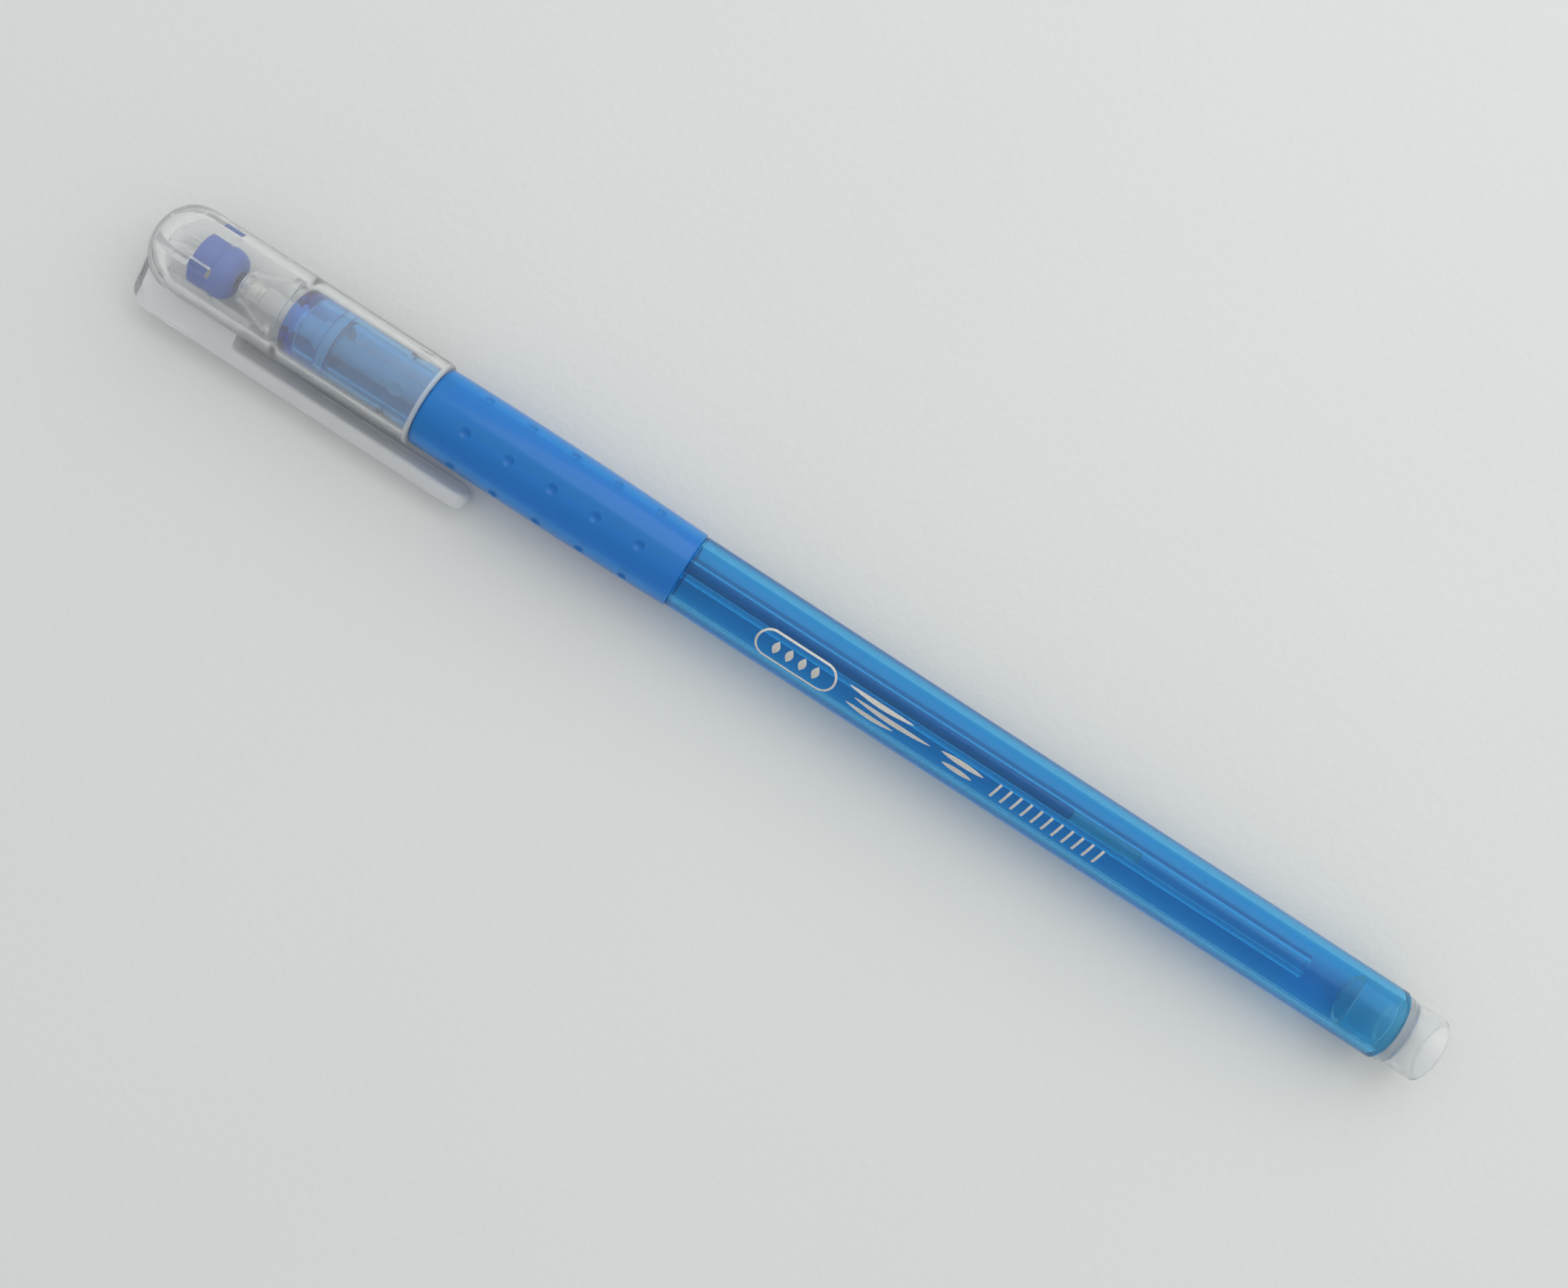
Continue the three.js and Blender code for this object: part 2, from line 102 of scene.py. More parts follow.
CAP_DOME = 3.84  # length of the cap's domed end
CAP_BORE = 3.82
CAP_POCKET = 3.62  # radius of the narrower bore in front of the shoulder
CAP_SHOULDER = 16.1
POCKET_END = 1.3  # where the pocket's domed end starts
POCKET_DOME = 3.4
RIM_DEPTH = 0.37  # how far the frosted band reaches in from the cap's mouth
RIB_COUNT = 4
RIB_WIDTH = 0.85
RIB_REAR = 8.3
RIB_RAMP = 1.0  # length of the sloping end of each long rib
RIB_TURN = 20
ON_SEAL = 0.03  # clearance round the seal
STOP_FRONT = 1.3  # the short ribs that the seal's front rests on
STOP_INNER = 1.4
STOP_OUTER = 3.4
NUB_COUNT = 4
NUB_AT = 28.9
NUB_TURN = 12
NUB_RADIUS = 0.62

CLIP_DROOP = 26  # degrees that the clip points below the horizontal
CLIP_WIDTH = 3.15
CLIP_INNER = 5.89
CLIP_OUTER = 7.6
CLIP_ROOT_END = 12.0
CLIP_CORNER = 2.1
CLIP_EDGE = 0.45

FIT = 0.03  # clearance of a press fit
NOSE_FRONT_RADIUS = 3.49
GROOVE_WIDTH = 1.8
GROOVE_RADIUS = 3.47
SPIGOT_RADIUS = 3.0
SPIGOT_BORE = 2.35
BARREL_SHOULDER = 31.8
BARREL_BORE = 2.9
BARREL_UNDER_GRIP = 3.35
BARREL_REAR_RADIUS = 3.79
GRIP_FRONT_RADIUS = 4.19
GRIP_REAR_RADIUS = 4.08
GRIP_WIDEST = 44
GRIP_BORE = 3.38
DIMPLE_ROWS = 6
DIMPLES_PER_ROW = 5
DIMPLE_FIRST = 37
DIMPLE_PITCH = 4.97
DIMPLE_TURN = 9.5
DIMPLE_RADIUS = 0.56
DIMPLE_DEPTH = 0.3
LIP_HEIGHT = 0.05  # the raised lip round a dimple, in dimple radii, as the next two are
LIP_AT = 1.12
LIP_WIDTH = 0.14
GRIP_SEAM = 41.9  # degrees to the parting line on the grip
BARREL_SEAM = 49.7
SEAM_WIDTH = 0.55  # degrees
GRIP_SEAM_HEIGHT = 0.015
BARREL_SEAM_HEIGHT = 0.02

HOLDER_RADIUS = 1.22
HOLDER_FLANGE_AT = 20.3
HOLDER_HUB = 1.15
INK_CHANNEL = 0.36
SHANK_RADIUS = 0.85
TUBE_BORE = 0.66
TUBE_LEAN = 0.4  # how far the loose tube lies off the axis, away from the clip
LEAN_START = 34.4
LEAN_END = 39.6

FOIL_LIFT = 0.004  # the gap under the foil
FOIL_TOP = 0.02
CAPSULE = (71.2, 80.0, 0.33, 3.27)  # front, rear, low and high side, round the barrel
CAPSULE_LINE = 0.24
LOZENGES = 4
LOZENGE_FIRST = 73.35
LOZENGE_PITCH = 1.5
LOZENGE_SIDE = 1.1
LOZENGE_LENGTH = 1.4
STROKES = ((81.3, 88.6), (82.3, 91.0), (81.8, 87.2))
DASHES = ((92.2, 97.0), (92.8, 96.2))
TICKS = 11
TICK_FIRST = 98.5
TICK_PITCH = 1.18
TICK_SLANT = 0.35
TICK_HIGH = 2.75
TICK_LENGTH = 1.7
TICK_WIDTH = 0.28

CAMERA_LENS = 44.3
CAMERA_FROM_AXIS = (-0.0014, -0.0096, 0.1898)  # metres from the middle of the pen's axis
CAMERA_TURN = (2.10, -1.61, 32.88)  # degrees
FLOOR_REACH = 2.5  # metres from the pen to the floor's edge
BRIGHT_SIDE = (0.15, 0.75, 0.65)
DIM_COLOUR = (0.53, 0.55, 0.57)
BRIGHT_COLOUR = (0.93, 0.93, 0.905)
KEY_PLACE = (0.08, 0.24, 0.26)
KEY_SIZE = (0.4, 0.34)
KEY_POWER = 0.42


# ---------------------------------------------------------------- mesh helpers

def smoothstep(value, start, end):
    """0 before start, 1 after end, and an even curve between."""
    share = np.clip((value - start) / (end - start), 0, 1)
    return share * share * (3 - 2 * share)


def arc(centre_s, centre_r, size_s, size_r, start, end, steps):
    """Points along an elliptic arc, between two angles in degrees."""
    points = []
    for i in range(steps + 1):
        angle = math.radians(start + (end - start) * i / steps)
        r = centre_r + size_r * math.sin(angle)
        points.append((centre_s + size_s * math.cos(angle), 0 if abs(r) < 1e-9 else r))
    return points


def rounded(corners, steps=6):
    """An outline from (s, r) corners. A third number rounds its corner over that distance."""
    points = []
    for i, corner in enumerate(corners):
        here = Vector(corner[:2])
        if len(corner) == 2:
            points.append(tuple(here))
            continue
        before = Vector(corners[i - 1][:2])
        after = Vector(corners[(i + 1) % len(corners)][:2])
        start = here + (before - here).normalized() * corner[2]
        end = here + (after - here).normalized() * corner[2]
        for k in range(steps + 1):
            t = k / steps
            points.append(tuple(start * (1 - t) ** 2 + here * 2 * t * (1 - t) + end * t * t))
    return points


def even_angles(sides, seams=()):
    """Angles round the axis, with closer ones beside each parting line."""
    angles = [360 * i / sides for i in range(sides)]
    for seam in seams:
        angles = [a for a in angles if abs(degrees_from(a, seam)) > 1.4]
        angles += [(seam + step) % 360 for step in (-1.2, -0.5, 0, 0.5, 1.2)]
    return sorted(angles)


def to_frame(s, r, angles):
    """Places in metres from s, r and angle, each a number or an array."""
    turn = np.radians(angles)
    s, r, turn = np.broadcast_arrays(s, r, turn)
    return np.stack(
        [
            APEX_X + s * MM,
            AXIS_Y - r * np.sin(turn) * MM,
            AXIS_Z + r * np.cos(turn) * MM,
        ],
        axis=-1,
    )


def around(s, r, across, turn):
    """A place beside the radius at an angle: r out along that radius, and across beside it."""
    return to_frame(s, math.hypot(r, across), turn + math.degrees(math.atan2(across, r)))


def degrees_from(angles, middle):
    """How far each angle is from middle, from -180 to 180."""
    return (angles - middle + 180) % 360 - 180


def make_object(name, points, faces, sharp=35):
    """Links a new object whose faces point out. Edges over sharp degrees stay crisp."""
    mesh = bpy.data.meshes.new(name)
    mesh.from_pydata([tuple(p) for p in points], [], faces)
    work = bmesh.new()
    work.from_mesh(mesh)
    bmesh.ops.recalc_face_normals(work, faces=work.faces)
    work.to_mesh(mesh)
    work.free()
    shade(mesh, sharp)
    piece = bpy.data.objects.new(name, mesh)
    bpy.context.scene.collection.objects.link(piece)
    return piece


def shade(mesh, sharp):
    mesh.shade_smooth()
    mesh.set_sharp_from_angle(angle=math.radians(sharp))


def turned(name, outline, angles=None, relief=None, sharp=35):
    """A solid turned round the axis. relief(s, r, angle) gives the true radius of a point."""
    angles = np.array(even_angles(SIDES) if angles is None else angles)
    sides = len(angles)
    points, rings = [], []
    for s, r in outline:
        first = len(points)
        if r == 0:
            points.append(to_frame(s, 0, 0))
            rings.append([first] * sides)
            continue
        radius = np.full(sides, r) if relief is None else relief(s, r, angles)
        points.extend(to_frame(s, radius, angles))
        rings.append(list(range(first, first + sides)))
    on_axis = outline[0][1] == 0 and outline[-1][1] == 0
    pairs = list(zip(rings, rings[1:]))
    if not on_axis:
        pairs.append((rings[-1], rings[0]))
    faces = []
    for a, b in pairs:
        for i in range(sides):
            k = (i + 1) % sides
            corners = dict.fromkeys((a[i], a[k], b[k], b[i]))
            if len(corners) > 2:
                faces.append(tuple(corners))
    return make_object(name, points, faces, sharp)


def lean(piece):
    """Shifts the loose part of the refill sideways, as the CAD does."""
    for vertex in piece.data.vertices:
        s = (vertex.co.x - APEX_X) / MM
        vertex.co.y += TUBE_LEAN * MM * float(smoothstep(s, LEAN_START, LEAN_END))
    return piece


def between(start, end, steps):
    """Evenly spaced numbers, with both ends."""
    return [start + (end - start) * i / steps for i in range(steps + 1)]


def join_solids(base, others):
    """Unites closed solids into one mesh, and removes the others."""
    for other in others:
        union = base.modifiers.new("union", "BOOLEAN")
        union.operation = "UNION"
        union.solver = "MANIFOLD"
        union.object = other
    bpy.context.view_layer.update()
    graph = bpy.context.evaluated_depsgraph_get()
    mesh = bpy.data.meshes.new_from_object(base.evaluated_get(graph), depsgraph=graph)
    base.modifiers.clear()
    base.data = mesh
    for other in others:
        bpy.data.objects.remove(other)
    shade(mesh, 30)
    return base


# ---------------------------------------------------------------- materials

class Look:
    """A procedural material on a Principled shader, with small helpers for its nodes."""

    def __init__(self, name, **constants):
        self.material = bpy.data.materials.new(name)
        self.material.use_nodes = True
        self.nodes = self.material.node_tree.nodes
        self.links = self.material.node_tree.links
        self.shader = self.nodes["Principled BSDF"]
        for socket, value in constants.items():
            self.shader.inputs[socket.replace("_", " ")].default_value = value

    def place(self, stretch=(1, 1, 1)):
        """Object coordinates in millimetres, stretched by a factor on each axis."""
        coordinates = self.nodes.new("ShaderNodeTexCoord")
        mapping = self.nodes.new("ShaderNodeMapping")
        mapping.inputs["Scale"].default_value = [factor / MM for factor in stretch]
        self.links.new(coordinates.outputs["Object"], mapping.inputs["Vector"])
        return mapping.outputs["Vector"]

    def noise(self, scale, detail=3, stretch=(1, 1, 1)):
        texture = self.nodes.new("ShaderNodeTexNoise")
        texture.inputs["Scale"].default_value = scale
        texture.inputs["Detail"].default_value = detail
        texture.inputs["Roughness"].default_value = 0.55
        self.links.new(self.place(stretch), texture.inputs["Vector"])
        return texture.outputs["Fac"]

    def specks(self, scale, size):
        """Sparse round specks: 1 inside a speck and 0 outside."""
        cells = self.nodes.new("ShaderNodeTexVoronoi")
        cells.inputs["Scale"].default_value = scale
        self.links.new(self.place(), cells.inputs["Vector"])
        return self.between(cells.outputs["Distance"], size, size * 0.6, 0, 1)

    def between(self, value, low, high, out_low, out_high):
        """Maps low..high onto out_low..out_high, clamped."""
        mapping = self.nodes.new("ShaderNodeMapRange")
        mapping.inputs["From Min"].default_value = low
        mapping.inputs["From Max"].default_value = high
        mapping.inputs["To Min"].default_value = out_low
        mapping.inputs["To Max"].default_value = out_high
        self.links.new(value, mapping.inputs["Value"])
        return mapping.outputs["Result"]

    def mix(self, factor, first, second):
        """A colour between two, each a colour or another node's output."""
        mixer = self.nodes.new("ShaderNodeMix")
        mixer.data_type = "RGBA"
        self.links.new(factor, mixer.inputs[0])
        for socket, colour in ((mixer.inputs[6], first), (mixer.inputs[7], second)):
            if isinstance(colour, tuple):
                socket.default_value = (*colour, 1)
            else:
                self.links.new(colour, socket)
        return mixer.outputs[2]

    def colour(self, source):
        self.links.new(source, self.shader.inputs["Base Color"])

    def rough(self, source):
        self.links.new(source, self.shader.inputs["Roughness"])

    def bump(self, source, height):
        """Raises the surface by source times height, in millimetres."""
        node = self.nodes.new("ShaderNodeBump")
        node.inputs["Distance"].default_value = height * MM
        self.links.new(source, node.inputs["Height"])
        self.links.new(node.outputs["Normal"], self.shader.inputs["Normal"])

    def absorb(self, colour, density):
        """Tints light by how far it goes inside the solid. density is per metre."""
        volume = self.nodes.new("ShaderNodeVolumeAbsorption")
        volume.inputs["Color"].default_value = (*colour, 1)
        volume.inputs["Density"].default_value = density
        output = self.nodes["Material Output"]
        self.links.new(volume.outputs["Volume"], output.inputs["Volume"])


def clear_plastic():
    look = Look("clear_plastic", Transmission_Weight=0.91, IOR=1.33)
    streaks = look.noise(0.5, stretch=(0.2, 1, 1))
    look.colour(look.mix(streaks, (0.99, 0.995, 0.995), (0.97, 0.98, 0.985)))
    look.rough(look.between(look.noise(0.9, detail=4), 0.35, 0.75, 0.08, 0.16))
    look.bump(look.noise(1.6, stretch=(0.1, 1, 1)), 0.001)
    return look.material


def clip_plastic():
    look = Look("clip_plastic", Transmission_Weight=0.5, IOR=1.4)
    streaks = look.noise(0.5, stretch=(0.2, 1, 1))
    look.colour(look.mix(streaks, (0.98, 0.985, 0.985), (0.96, 0.97, 0.975)))
    look.rough(look.between(look.noise(0.9, detail=4), 0.35, 0.75, 0.06, 0.13))
    look.bump(look.noise(1.6, stretch=(0.1, 1, 1)), 0.001)
    return look.material


def frosted_rim():
    look = Look("frosted_rim", Transmission_Weight=0.62, IOR=1.4)
    look.colour(look.mix(look.noise(1.5), (0.90, 0.92, 0.92), (0.84, 0.87, 0.87)))
    look.rough(look.between(look.noise(3.0), 0.3, 0.7, 0.4, 0.55))
    look.bump(look.noise(5.0), 0.003)
    return look.material


def pale_blue_plastic():
    look = Look("pale_blue_plastic", Transmission_Weight=1.0, IOR=1.3)
    look.colour(look.mix(look.noise(0.4), (0.46, 0.80, 1.0), (0.42, 0.78, 1.0)))
    look.rough(look.between(look.noise(1.2, detail=4), 0.35, 0.75, 0.04, 0.12))
    look.bump(look.noise(2.0), 0.002)
    look.absorb((0.0, 0.66, 1.0), 600)
    return look.material


def thin_blue_plastic():
    look = Look("thin_blue_plastic", Transmission_Weight=1.0, IOR=1.3)
    look.colour(look.mix(look.noise(0.4), (0.84, 0.95, 1.0), (0.80, 0.93, 1.0)))
    look.rough(look.between(look.noise(1.2, detail=4), 0.35, 0.75, 0.04, 0.12))
    look.bump(look.noise(2.0), 0.002)
    return look.material


def satin_grip():
    look = Look("satin_blue_grip", Transmission_Weight=0.68, IOR=1.4)
    cloud = look.noise(0.35, stretch=(0.3, 1, 1))
    look.colour(look.mix(cloud, (0.025, 0.40, 0.96), (0.035, 0.43, 0.99)))
    look.rough(look.between(look.noise(3.0, detail=4), 0.3, 0.7, 0.13, 0.2))
    look.bump(look.noise(5.0, detail=2), 0.0003)
    return look.material


def blue_plastic():
    look = Look("blue_plastic", Transmission_Weight=0.95, IOR=1.27)
    cloud = look.noise(0.3, stretch=(0.25, 1, 1))
    base = look.mix(cloud, (0.18, 0.69, 0.99), (0.22, 0.72, 1.0))
    look.colour(look.mix(look.specks(0.28, 0.045), base, (0.05, 0.22, 0.45)))
    look.rough(look.between(look.noise(2.0, detail=4), 0.3, 0.7, 0.08, 0.14))
    look.bump(look.noise(2.5, stretch=(0.3, 1, 1)), 0.002)
    look.absorb((0.1, 0.6, 0.95), 180)
    return look.material


def violet_seal():
    look = Look("violet_seal", Roughness=0.5, Subsurface_Weight=0.1)
    look.shader.inputs["Subsurface Scale"].default_value = 0.4 * MM
    look.colour(look.mix(look.noise(1.5), (0.032, 0.115, 0.50), (0.045, 0.14, 0.58)))
    look.bump(look.noise(6.0, detail=4), 0.01)
    return look.material


def milky_plastic():
    look = Look("milky_plastic", Transmission_Weight=0.06, IOR=1.4)
    look.colour(look.mix(look.noise(0.8), (0.96, 0.96, 0.97), (0.98, 0.98, 0.985)))
    look.rough(look.between(look.noise(2.0), 0.3, 0.7, 0.14, 0.25))
    look.bump(look.noise(4.0), 0.002)
    return look.material


def plug_plastic():
    look = Look("plug_plastic", Transmission_Weight=0.84, IOR=1.33)
    look.colour(look.mix(look.noise(0.8), (0.93, 0.95, 0.96), (0.96, 0.97, 0.98)))
    look.rough(look.between(look.noise(2.0), 0.3, 0.7, 0.12, 0.24))
    look.bump(look.noise(4.0), 0.002)
    return look.material


def tube_plastic():
    look = Look("tube_plastic", Transmission_Weight=1.0, IOR=1.27)
    look.colour(look.mix(look.noise(0.8), (0.90, 0.93, 0.96), (0.95, 0.97, 0.99)))
    look.rough(look.between(look.noise(2.0), 0.3, 0.7, 0.03, 0.08))
    look.bump(look.noise(3.0, stretch=(0.1, 1, 1)), 0.002)
    return look.material


def ink_look():
    look = Look("blue_ink", Roughness=0.35, IOR=1.3)
    streaks = look.noise(0.5, stretch=(0.1, 1, 1))
    look.colour(look.mix(streaks, (0.008, 0.09, 0.30), (0.012, 0.12, 0.36)))
    look.bump(look.noise(2.0), 0.002)
    return look.material


def grease_look():
    look = Look("clear_grease", Transmission_Weight=0.8, IOR=1.46)
    look.colour(look.mix(look.noise(1.0), (0.82, 0.86, 0.72), (0.90, 0.92, 0.82)))
    look.rough(look.between(look.noise(2.0), 0.3, 0.7, 0.1, 0.25))
    look.bump(look.noise(1.5), 0.01)
    return look.material


def turned_metal():
    look = Look("nickel_silver", Metallic=1.0, Anisotropic=0.5)
    look.colour(look.mix(look.noise(1.2), (0.72, 0.69, 0.63), (0.80, 0.78, 0.73)))
    look.rough(look.between(look.noise(3.0), 0.3, 0.7, 0.2, 0.32))
    look.bump(look.noise(14.0, stretch=(1, 0.05, 0.05)), 0.004)
    return look.material


def carbide():
    look = Look("carbide", Metallic=1.0)
    look.colour(look.mix(look.noise(8.0), (0.42, 0.43, 0.45), (0.52, 0.53, 0.55)))
    look.rough(look.between(look.noise(30.0), 0.3, 0.7, 0.12, 0.22))
    look.bump(look.noise(60.0), 0.0008)
    return look.material


def silver_foil():
    look = Look("silver_foil", Metallic=1.0)
    look.colour(look.mix(look.noise(2.5), (0.86, 0.85, 0.82), (0.66, 0.62, 0.56)))
    look.rough(look.between(look.noise(5.0), 0.3, 0.7, 0.14, 0.34))
    look.bump(look.noise(3.5, detail=5), 0.05)
    return look.material


def paper_floor():
    look = Look("paper_floor", Roughness=0.75)
    tone = look.noise(0.02, detail=2)
    look.colour(look.mix(tone, (0.70, 0.712, 0.703), (0.725, 0.738, 0.728)))
    look.bump(look.noise(1.1, detail=4), 0.05)
    return look.material


def give(piece, material):
    """Dresses a piece in one material."""
    piece.data.materials.clear()
    piece.data.materials.append(material)
    return piece


# ---------------------------------------------------------------- the cap and its clip

def cap_outside(s):
    """The radius of the cap's outside at s."""
    if s >= CAP_DOME:
        return CAP_RADIUS
    return CAP_RADIUS * math.sqrt(max(0, 1 - ((CAP_DOME - s) / CAP_DOME) ** 2))


def pocket_radius(s):
    """The radius of the cap's inside at s, in front of its shoulder."""
    depth = s - POCKET_END
    if depth <= 0:
        return 0
    if depth >= POCKET_DOME:
        return CAP_POCKET
    return CAP_POCKET * math.sqrt(1 - (1 - depth / POCKET_DOME) ** 2)


def cap_shell():
    rim = [
        (CAP_DOME + 1, CAP_RADIUS),
        (CAP_MOUTH, CAP_RADIUS, 0.38),
        (CAP_MOUTH, CAP_BORE, 0.16),
        (CAP_SHOULDER + 0.6, CAP_BORE, 0.3),
        (CAP_SHOULDER - 0.3, CAP_POCKET, 0.3),
        (CAP_SHOULDER - 1, CAP_POCKET),
    ]
    outline = arc(CAP_DOME, 0, CAP_DOME, CAP_RADIUS, 180, 90, 40)
    outline += rounded(rim)
    outline += arc(POCKET_END + POCKET_DOME, 0, POCKET_DOME, CAP_POCKET, 90, 180, 24)
    return turned("clear_cap", outline)


def bar_along(name, front, rear, inner, outer, width, turn, ramp=0):
    """A straight rib along the pen, standing at an angle round the axis. A ramp slopes its rear."""
    half = width / 2
    points = []
    for s, slope in ((front, 0), (rear, ramp)):
        for r, across in ((inner, -half), (inner, half), (outer, half), (outer, -half)):
            end = s - slope if r == inner else s
            points.append(around(end, r, across, turn))
    faces = [(0, 1, 2, 3), (4, 7, 6, 5)]
    faces += [(i, i + 4, (i + 1) % 4 + 4, (i + 1) % 4) for i in range(4)]
    return make_object(name, points, faces)


def cap_ribs():
    """Long ribs that hold the seal's side, and short ones that stop its front."""
    outer = CAP_POCKET + 0.5
    inner = SEAL_RADIUS + ON_SEAL
    rib_front = SEAL_FRONT - 1.5
    stop_rear = SEAL_FRONT - ON_SEAL
    ribs = []
    for i in range(RIB_COUNT):
        turn = RIB_TURN + 360 * i / RIB_COUNT
        ribs.append(bar_along("rib", rib_front, RIB_REAR, inner, outer, RIB_WIDTH, turn, RIB_RAMP))
        ribs.append(bar_along("stop", STOP_FRONT, stop_rear, STOP_INNER, STOP_OUTER, RIB_WIDTH, turn))
    return ribs


def cap_nubs():
    """Low round bumps inside the mouth, which snap into the nose's groove."""
    nubs = []
    length, height, seat = 1.3 * NUB_RADIUS, 0.32 * NUB_RADIUS, 0.05
    for i in range(NUB_COUNT):
        turn = NUB_TURN + 360 * i / NUB_COUNT
        bump = bmesh.new()
        bmesh.ops.create_uvsphere(bump, u_segments=32, v_segments=20, radius=1)
        points = []
        for vertex in bump.verts:
            s = NUB_AT + vertex.co.x * length
            r = CAP_BORE + seat + vertex.co.z * height
            points.append(around(s, r, vertex.co.y * NUB_RADIUS, turn))
        faces = [[v.index for v in face.verts] for face in bump.faces]
        bump.free()
        nubs.append(make_object("nub", points, faces))
    return nubs


def clip_section(s, inner, outer, half, edge):
    """A ring of points round the clip at s: a rectangle with round corners."""
    edge = min(edge, half * 0.98, (outer - inner) * 0.49)
    ring = []
    corners = ((half, outer, 90), (-half, outer, 180), (-half, inner, 270), (half, inner, 0))
    for across, r, start in corners:
        centre_a = across - math.copysign(edge, across)
        centre_r = r - edge if r == outer else r + edge
        for k in range(7):
            angle = math.radians(start - 90 + 90 * k / 6)
            ring.append((centre_a + edge * math.cos(angle), centre_r + edge * math.sin(angle)))
    return [around(s, r, across, 90 + CLIP_DROOP) for across, r in ring]


def root_inner(s):
    """How far in the clip's root reaches, inside the cap's wall and clear of its pocket."""
    half = CLIP_WIDTH / 2
    surface = math.sqrt(max(0.3, cap_outside(s) ** 2 - half ** 2))
    return (pocket_radius(s) + surface) / 2


def clip_stations():
    """(s, inner, outer, half width) along the clip, front to tip."""
    half = CLIP_WIDTH / 2
    heel, fillet = 0.6, 0.7
    tip_length, tip_round, tip_narrowing = 1.8, 0.7, 1.3
    stations = []

    def outer_at(s):
        front = max(0.0, 1 - (s - CLIP_START) / CLIP_CORNER)
        rear = max(0.0, 1 - (CLIP_TIP - s) / tip_round)
        drop = CLIP_CORNER * (1 - math.sqrt(1 - front ** 2))
        return CLIP_OUTER - drop - tip_round * (1 - math.sqrt(1 - rear ** 2))

    def half_at(s):
        front = max(0.0, 1 - (s - CLIP_START) / heel)
        rear = max(0.0, 1 - (CLIP_TIP - s) / tip_length)
        at_heel = heel * (1 - math.sqrt(1 - front ** 2))
        return half - at_heel - tip_narrowing * (1 - math.sqrt(1 - rear ** 2))

    def bar_inner(s):
        rear = max(0.0, 1 - (CLIP_TIP - s) / tip_round)
        return CLIP_INNER + tip_round * (1 - math.sqrt(1 - rear ** 2))

    front = [CLIP_START + CLIP_CORNER * (1 - math.cos(math.radians(a))) for a in range(0, 91, 6)]
    for s in front + between(CLIP_START + CLIP_CORNER, CLIP_ROOT_END, 14)[1:]:
        stations.append((s, root_inner(s), outer_at(s), half_at(s)))
    for k in range(0, 9):
        angle = math.radians(90 * k / 8)
        s = CLIP_ROOT_END + fillet * (1 - math.cos(angle))
        inner = CLIP_INNER - fillet + fillet * math.sin(angle)
        stations.append((s, inner, outer_at(s), half_at(s)))
    for s in between(CLIP_ROOT_END + fillet, CLIP_TIP - tip_length, 24)[1:]:
        stations.append((s, bar_inner(s), outer_at(s), half_at(s)))
    for k in range(1, 17):
        s = CLIP_TIP - tip_length * (1 - math.sin(math.radians(90 * k / 16)))
        stations.append((s, bar_inner(s), outer_at(s), half_at(s)))
    return stations


def clip_bar():
    rings = [clip_section(s, a, b, half, CLIP_EDGE) for s, a, b, half in clip_stations()]
    count = len(rings[0])
    points = [p for ring in rings for p in ring]
    faces = [tuple(range(count)), tuple(range(len(points) - count, len(points)))]
    for i in range(len(rings) - 1):
        a, b = i * count, (i + 1) * count
        for k in range(count):
            n = (k + 1) % count
            faces.append((a + k, a + n, b + n, b + k))
    return make_object("clip_bar", points, faces)


def paint_cap(cap, rim_material, clip_material):
    """Gives the rim and the clip, which are part of the cap's mesh, looks of their own."""
    cap.data.materials.append(rim_material)
    cap.data.materials.append(clip_material)
    for face in cap.data.polygons:
        place = (face.center - Vector((APEX_X, AXIS_Y, AXIS_Z))) / MM
        if math.hypot(place.y, place.z) > CAP_RADIUS + 0.01:
            face.material_index = 2
        elif place.x > CAP_MOUTH - RIM_DEPTH:
            face.material_index = 1


def bend_clip(cap):
    """Bakes the cap's placement into its mesh."""
    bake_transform(cap)


def build_cap(material, rim_material, clip_material):
    cap = join_solids(cap_shell(), [clip_bar()] + cap_ribs() + cap_nubs())
    give(cap, material)
    paint_cap(cap, rim_material, clip_material)
    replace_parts(cap, "cap", "clip")
    bend_clip(cap)


# ---------------------------------------------------------------- pieces inside the cap

def build_seal(material):
    waist = 7.2
    waist_half = 0.45
    waist_radius = 2.5
    hollow_end = SEAL_REAR - 1.45
    outline = rounded([
        (SEAL_FRONT, 0),
        (SEAL_FRONT, SEAL_RADIUS, 0.3),
        (waist - waist_half, SEAL_RADIUS, 0.2),
        (waist, waist_radius, 0.25),
        (waist + waist_half, SEAL_RADIUS, 0.2),
        (SEAL_REAR, SEAL_RADIUS, 1.6),
        (SEAL_REAR, 1.1, 0.1),
        (SEAL_REAR - 1, 0.55, 0.1),
        (hollow_end, 0.45, 0.1),
        (hollow_end, 0),
    ])
    seal = turned("rubber_seal", outline, even_angles(SMALL_SIDES))
    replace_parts(give(seal, material), "seal_plug")
    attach(seal, "cap")


def build_guide(material):
    hole = 1.45
    wall = 0.42
    land = 0.35
    rim_front = GUIDE_REAR - 0.9
    inner = GUIDE_RADIUS - wall
    outline = rounded([
        (GUIDE_FRONT, hole, 0.1),
        (GUIDE_FRONT, hole + wall, 0.15),
        (GUIDE_FRONT + land, hole + wall, 0.15),
        (rim_front, GUIDE_RADIUS - 0.2, 0.08),
        (rim_front, GUIDE_RADIUS, 0.08),
        (GUIDE_REAR, GUIDE_RADIUS, 0.08),
        (GUIDE_REAR, inner, 0.08),
        (GUIDE_REAR - 0.25, inner, 0.1),
        (GUIDE_FRONT + land + 0.2, hole, 0.3),
    ])
    guide = turned("funnel_guide", outline)
    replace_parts(give(guide, material), "tip_guide")
    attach(guide, "cap")


# ---------------------------------------------------------------- nose, grip and barrel

